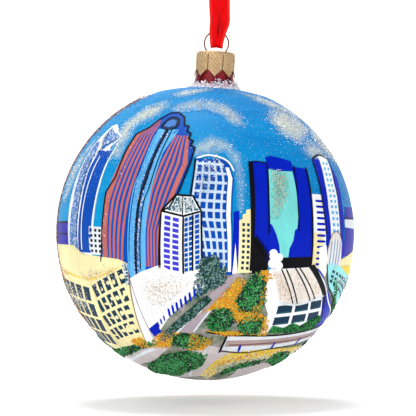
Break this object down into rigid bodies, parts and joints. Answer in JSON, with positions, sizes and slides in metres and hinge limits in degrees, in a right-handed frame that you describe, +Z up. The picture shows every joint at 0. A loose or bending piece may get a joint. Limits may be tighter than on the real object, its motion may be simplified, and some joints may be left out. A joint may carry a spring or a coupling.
{
  "type": "painted glass ball ornament",
  "caption": "Round blown-glass christmas ornament with a painted city skyline, a petalled crown cap, a sprung wire ring and a satin ribbon loop.",
  "frame": {"origin": "top of the ribbon's loop, just under its knot, where a hook carries it", "axes": "+Z up along the neck, +X to the right of the painted front, -Y out of the painted front"},
  "size_m": [0.1, 0.1, 0.1488],
  "materials": {
    "painted_glass": "satin lacquer and hand painting over blown glass",
    "snow_glitter": "coarse white and pale pink glass glitter, glued on",
    "cap_gold": "matt pale gold, stamped sheet with a fine embossed pattern",
    "copper_wire": "brown copper wire, drawn smooth",
    "red_satin": "bright red satin ribbon"
  },
  "bodies": {
    "ribbon": {"ribbon": "red_satin", "ribbon_knot": "red_satin"},
    "hanger": {"hanger_wire": "copper_wire"},
    "cap": {"crown_cap": "cap_gold"},
    "ball": {"glass_ball": "painted_glass", "neck_snow": "snow_glitter"}
  },
  "joints": [
    {"name": "hanger_swing", "type": "hinge", "parent": "ribbon", "child": "hanger", "pos_m": [0, 0, -0.0242], "axis": [1, 0, 0], "range_deg": [-60, 60]},
    {"name": "hanger_slip", "type": "slide", "parent": "hanger", "child": "cap", "axis": [0, 0, 1], "range_m": [0, 0.001]},
    {"name": "ball_turn", "type": "hinge", "parent": "cap", "child": "ball", "pos_m": [0, 0, -0.0921], "axis": [0, 0, 1], "continuous": true}
  ]
}
